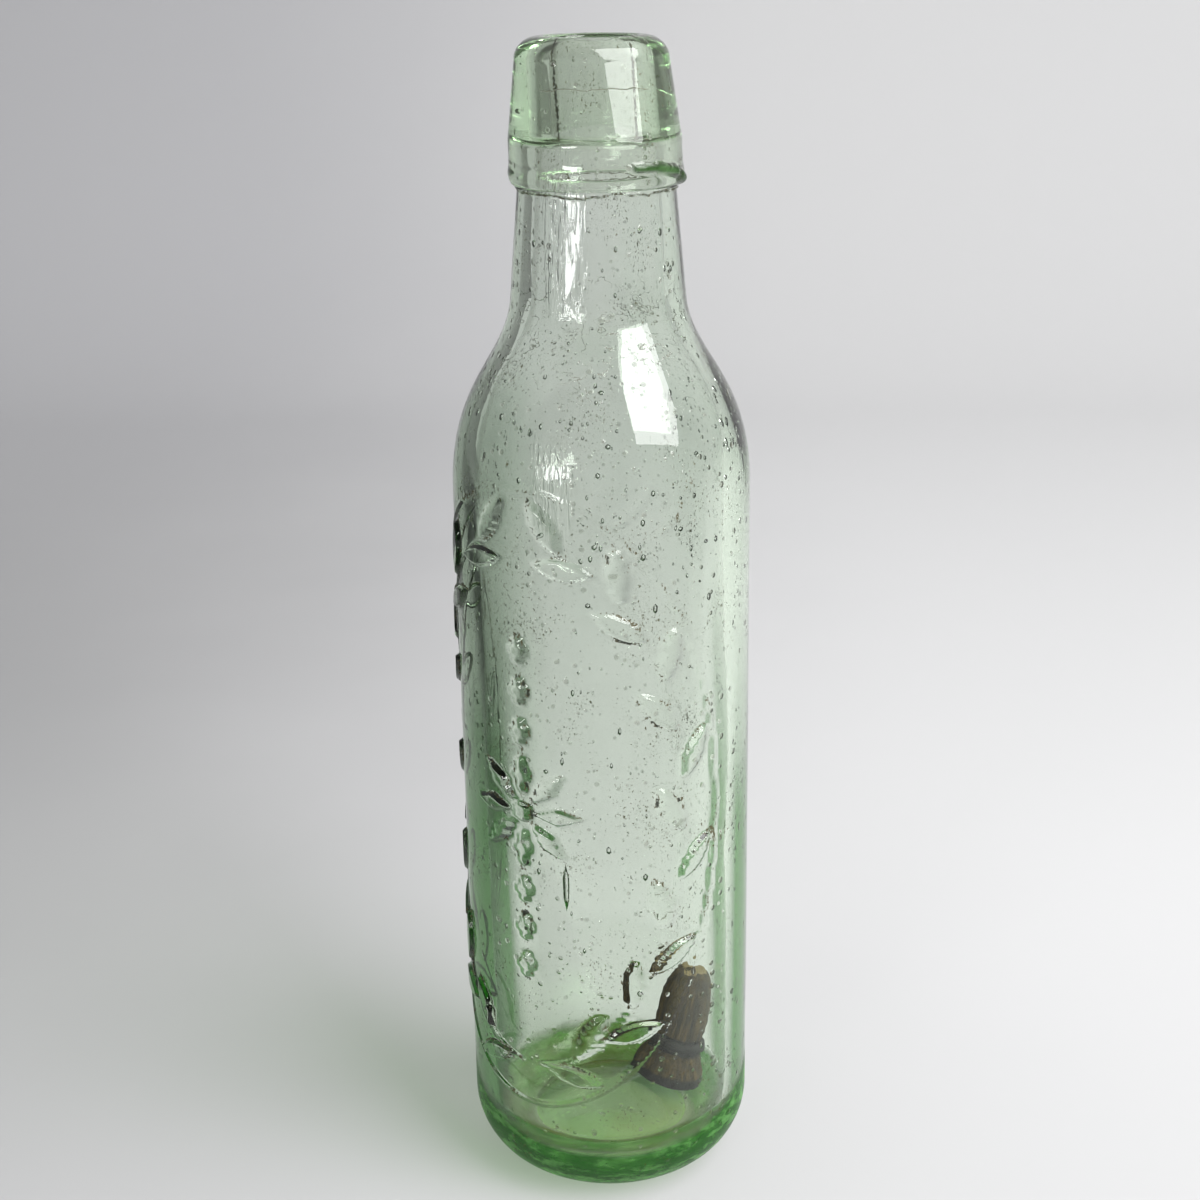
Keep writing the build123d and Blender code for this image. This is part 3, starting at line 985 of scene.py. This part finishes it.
def makeBobbin():
    w = woodStopper
    piece = traceProfile("woodStopper", bobbinOutline())
    spinRound([(360, 96)])
    for vertex in piece.data.vertices:
        x, y, z = vertex.co
        r = hypot(x, y)
        grain = noise.noise(Vector((x, y, z * 0.18)) / (1.1 * mm))
        chips = noise.noise(Vector((x, y, z)) / (3.4 * mm) + Vector((4, 4, 4)))
        dent = w["wear"] * (0.5 * grain + 0.9 * min(chips, 0.25)) - w["sunk"]
        if r > 0.3 * mm:
            vertex.co.x = x * (1 + dent / r)
            vertex.co.y = y * (1 + dent / r)
    return piece, seatPlace(piece, "stopper_body")


def woodMaterial(foot):
    material, tree, surface, coords, output = newMaterial("darkWoodMaterial")
    w = woodStopper
    turned = tree.nodes.new("ShaderNodeMapping")     # from the frame to heights above the stopper's foot
    turned.vector_type = "TEXTURE"
    turned.inputs["Location"].default_value = foot
    turned.inputs["Rotation"].default_value = (0, radians(w["lean"]), radians(w["azimuth"]))
    tree.links.new(coords, turned.inputs["Vector"])
    along = turned.outputs[0]
    grain = addNoise(tree, along, 900, 6, 0.65, (1, 1, 0.12))
    colour = addRamp(tree, grain, [(0.3, w["wood"]), (0.5, w["woodMiddle"]), (0.72, w["woodPale"])])
    scuff = addNoise(tree, along, 420, 8, 0.75, (1, 1, 0.22))
    colour = addMix(tree, addSpan(tree, scuff, 0.62, 0.74, 0.0, 0.7), colour, w["scuff"])

    # the rim is painted nearly black as shade, the waist is darker, and the cut end is paler
    height = addMath(tree, "MULTIPLY_ADD", addNoise(tree, along, 800, 4), w["ragged"],
                     splitPlace(tree, along)[2])
    waist = addFall(tree, addAway(tree, height, w["waistMiddle"]), *w["waistDark"])
    colour = addMix(tree, addMost(tree, addFall(tree, height, *w["rimShade"]), waist), colour, w["rimShadeWaistDark"])
    colour = addMix(tree, addSpan(tree, height, *w["cutStart"], 0.0, 0.9), colour, w["cut"])
    tree.links.new(colour, surface.inputs["Base Color"])
    surface.inputs["Roughness"].default_value = 0.85
    surface.inputs["Specular IOR Level"].default_value = 0.12
    tree.links.new(addBump(tree, grain, 0.9, 0.35 * mm), surface.inputs["Normal"])
    return material


bobbin, stopperFoot = makeBobbin()
bobbin.data.materials.append(woodMaterial(stopperFoot))
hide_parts("stopper_body")
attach(bobbin, "stopper")
print("stopper made")


rubberRing = {
    "centreRadius": 5.85 * mm,
    "section": 1.2 * mm,
    "crazed": (0.002, 0.002, 0.002), "bloom": (0.014, 0.012, 0.01),
}


def makeRing():
    q = rubberRing
    deselectAll()
    bpy.ops.mesh.primitive_torus_add(major_radius=q["centreRadius"], minor_radius=q["section"],
                                     major_segments=96, minor_segments=24)
    piece = bpy.context.object
    piece.name = piece.data.name = "rubberRing"
    for vertex in piece.data.vertices:
        lump = noise.noise(vertex.co / (2.2 * mm)) * 0.18 + noise.noise(vertex.co / (0.8 * mm)) * 0.07
        angle = atan2(vertex.co.y, vertex.co.x)
        centre = Vector((cos(angle), sin(angle), 0)) * q["centreRadius"]
        vertex.co = centre + (vertex.co - centre) * (0.95 + lump)
    bpy.ops.object.shade_smooth()
    seatPlace(piece, "stopper_ring")
    return piece


def rubberMaterial():
    material, tree, surface, coords, output = newMaterial("perishedRubberMaterial")
    crazing = addNoise(tree, coords, 1500, 5, 0.7)
    colour = addRamp(tree, crazing, [(0.35, rubberRing["crazed"]), (0.7, rubberRing["bloom"])])
    tree.links.new(colour, surface.inputs["Base Color"])
    surface.inputs["Roughness"].default_value = 0.75
    surface.inputs["Specular IOR Level"].default_value = 0.15
    tree.links.new(addBump(tree, crazing, 0.6, 0.15 * mm), surface.inputs["Normal"])
    return material


ring = makeRing()
ring.data.materials.append(rubberMaterial())
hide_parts("stopper_ring")
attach(ring, "stopper")
print("ring made")


# Stage: a pale sheet that runs flat under the bottle and curves up behind it
stageSheet = {
    "front": -1.6,
    "back": 1.1,
    "halfWidth": 1.1,
    "rise": 0.9,
    "bend": 0.4,
    "shaded": (0.41, 0.41, 0.415),      # on the left
    "shadedBack": (0.57, 0.57, 0.585),  # on the left, far back
    "backStart": (0.25, 1.0),
    "lit": (0.7, 0.7, 0.703),           # on the right
    "gradient": (-0.22, 0.2),           # where one turns to the other
    "mottle": 0.12,
    "nearEnd": (-0.08, 0.16),           # the two sides differ less beside the bottle
    "foregroundShade": (0.36, 0.36, 0.362),  # painted shade before the picture's lower edge, where the window is near
    "foregroundEnd": (-0.16, -0.035),
    "mirroredShade": (0.1, 0.1, 0.102),      # painted shade: how dark it shows as a reflection
    "mirroredEnd": (-0.1, -0.045),
    "leftEdge": (0.304, 0.118),         # the picture's left edge: its slope and where it starts
    "unlit": (0.05, 0.052, 0.053),      # a dark strip far to the left, which only the glass shows
    "unlitFar": (0.38, 0.38, 0.38),     # and what lies beyond the strip
    "stripStart": (0.02, 0.13), "stripEnd": (0.22, 0.42),   # its soft edges, past the picture's left edge
}


def paperMaterial():
    s = stageSheet
    material, tree, surface, coords, output = newMaterial("palePaper")
    place = splitPlace(tree, coords)
    side = addMath(tree, "MULTIPLY_ADD", addNoise(tree, coords, 5), s["mottle"], place[0])
    side = addSpan(tree, side, *s["gradient"])
    near = addFall(tree, place[1], *s["nearEnd"])
    side = addMath(tree, "MULTIPLY_ADD", side, addMath(tree, "MULTIPLY_ADD", near, -0.45, 1.0),
                   addProduct(tree, near, 0.25))
    back = addSpan(tree, place[1], *s["backStart"])
    colour = addMix(tree, side, addMix(tree, back, s["shaded"], s["shadedBack"]), s["lit"])
    # painted shade on the sheet in front of the bottle
    colour = addMix(tree, addFall(tree, place[1], *s["foregroundEnd"]), colour, s["foregroundShade"])
    path = tree.nodes.new("ShaderNodeLightPath").outputs
    # painted shade, seen only in reflections, on the sheet just in front of the bottle
    mirroredShade = addProduct(tree, addFall(tree, place[1], *s["mirroredEnd"]), path["Is Glossy Ray"])
    colour = addMix(tree, mirroredShade, colour, s["mirroredShade"])

    edge = addMath(tree, "MULTIPLY_ADD", place[1], *s["leftEdge"])
    past = addMath(tree, "SUBTRACT", addProduct(tree, place[0], -1.0), edge)
    beyond = addMost(tree, addSpan(tree, past, *s["stripEnd"]), back)
    unlit = addMix(tree, beyond, s["unlit"], s["unlitFar"])
    unseen = addMath(tree, "SUBTRACT", 1.0, path["Is Camera Ray"])
    strip = addProduct(tree, addSpan(tree, past, *s["stripStart"]), unseen)
    tree.links.new(addMix(tree, strip, colour, unlit), surface.inputs["Base Color"])
    surface.inputs["Roughness"].default_value = 0.85
    surface.inputs["Specular IOR Level"].default_value = 0.2
    return material


def makeSheet():
    s = stageSheet
    deselectAll()
    bpy.ops.mesh.primitive_plane_add(size=1)
    sheet = bpy.context.object
    sheet.name = "paperSweep"
    for vertex in sheet.data.vertices:
        vertex.co.x *= 2 * s["halfWidth"]
        vertex.co.y = s["front"] if vertex.co.y < 0 else s["back"]
    bpy.ops.object.mode_set(mode="EDIT")
    bpy.ops.mesh.select_mode(type="EDGE")
    for step in ("rise", "bend"):
        # the back edge is drawn up, and then the fold that this leaves is rounded
        bpy.ops.mesh.select_all(action="DESELECT")
        bpy.ops.object.mode_set(mode="OBJECT")
        for edge in sheet.data.edges:
            ends = [sheet.data.vertices[v].co for v in edge.vertices]
            edge.select = all(c.y > s["back"] - 0.01 and c.z < 0.01 for c in ends)
        bpy.ops.object.mode_set(mode="EDIT")
        if step == "rise":
            bpy.ops.mesh.extrude_region_move(TRANSFORM_OT_translate={"value": (0, 0, s["rise"])})
    bpy.ops.mesh.bevel(offset=s["bend"], segments=24)
    bpy.ops.object.mode_set(mode="OBJECT")
    bpy.ops.object.shade_smooth()
    sheet.data.materials.append(paperMaterial())


makeSheet()


# Light: a large window to the right, a small one low on the left, and pale walls all round.
# Azimuths are degrees right of the camera's side, seen from the bottle
studioLight = {
    "window": {"azimuth": 55.2, "rise": 43.7, "roll": -17.4, "distance": 1.5,
               "size": (1.035, 1.513), "power": 40},
    "side": {"azimuth": -34, "rise": 5.2, "roll": 8, "distance": 1.2,
             "size": (0.42, 0.13), "power": 2.7},
    "aim": 0.17,
    "roomDark": (0.36, 0.362, 0.37), "roomPale": (0.42, 0.42, 0.425), "roomFront": (0.06, 0.06, 0.063),
    "sides": (-0.7, 0.6), "frontEnd": (-0.55, 0.1),
    "beyond": (0.53, 0.53, 0.54),       # what the camera sees past the sheet, also through the glass
}


def addWindow(name):
    s = studioLight[name]
    a, e = radians(s["azimuth"]), radians(s["rise"])
    away = Vector((sin(a) * cos(e), -cos(a) * cos(e), sin(e)))
    deselectAll()
    bpy.ops.object.light_add(type="AREA", location=Vector((0, 0, studioLight["aim"])) + away * s["distance"])
    lamp = bpy.context.object
    lamp.name = name + "Light"
    turned = away.to_track_quat("Z", "Y") @ Quaternion((0, 0, 1), radians(s["roll"]))
    lamp.rotation_euler = turned.to_euler()
    lamp.data.shape = "RECTANGLE"
    lamp.data.size, lamp.data.size_y = s["size"]
    lamp.data.energy = s["power"]


def lightRoom():
    s = studioLight
    world = bpy.data.worlds.new("paleRoom")
    world.use_nodes = True
    tree = world.node_tree
    place = splitPlace(tree, tree.nodes.new("ShaderNodeTexCoord").outputs["Generated"])
    colour = addMix(tree, addSpan(tree, place[0], *s["sides"]), s["roomDark"], s["roomPale"])
    colour = addMix(tree, addFall(tree, place[1], *s["frontEnd"]), colour, s["roomFront"])
    path = tree.nodes.new("ShaderNodeLightPath").outputs
    seen = addMost(tree, path["Is Camera Ray"], path["Is Transmission Ray"])
    tree.links.new(addMix(tree, seen, colour, s["beyond"]), tree.nodes["Background"].inputs["Color"])
    bpy.context.scene.world = world
    bpy.context.scene.view_settings.view_transform = "Standard"


addWindow("window")
addWindow("side")
lightRoom()
print("stage and light set")
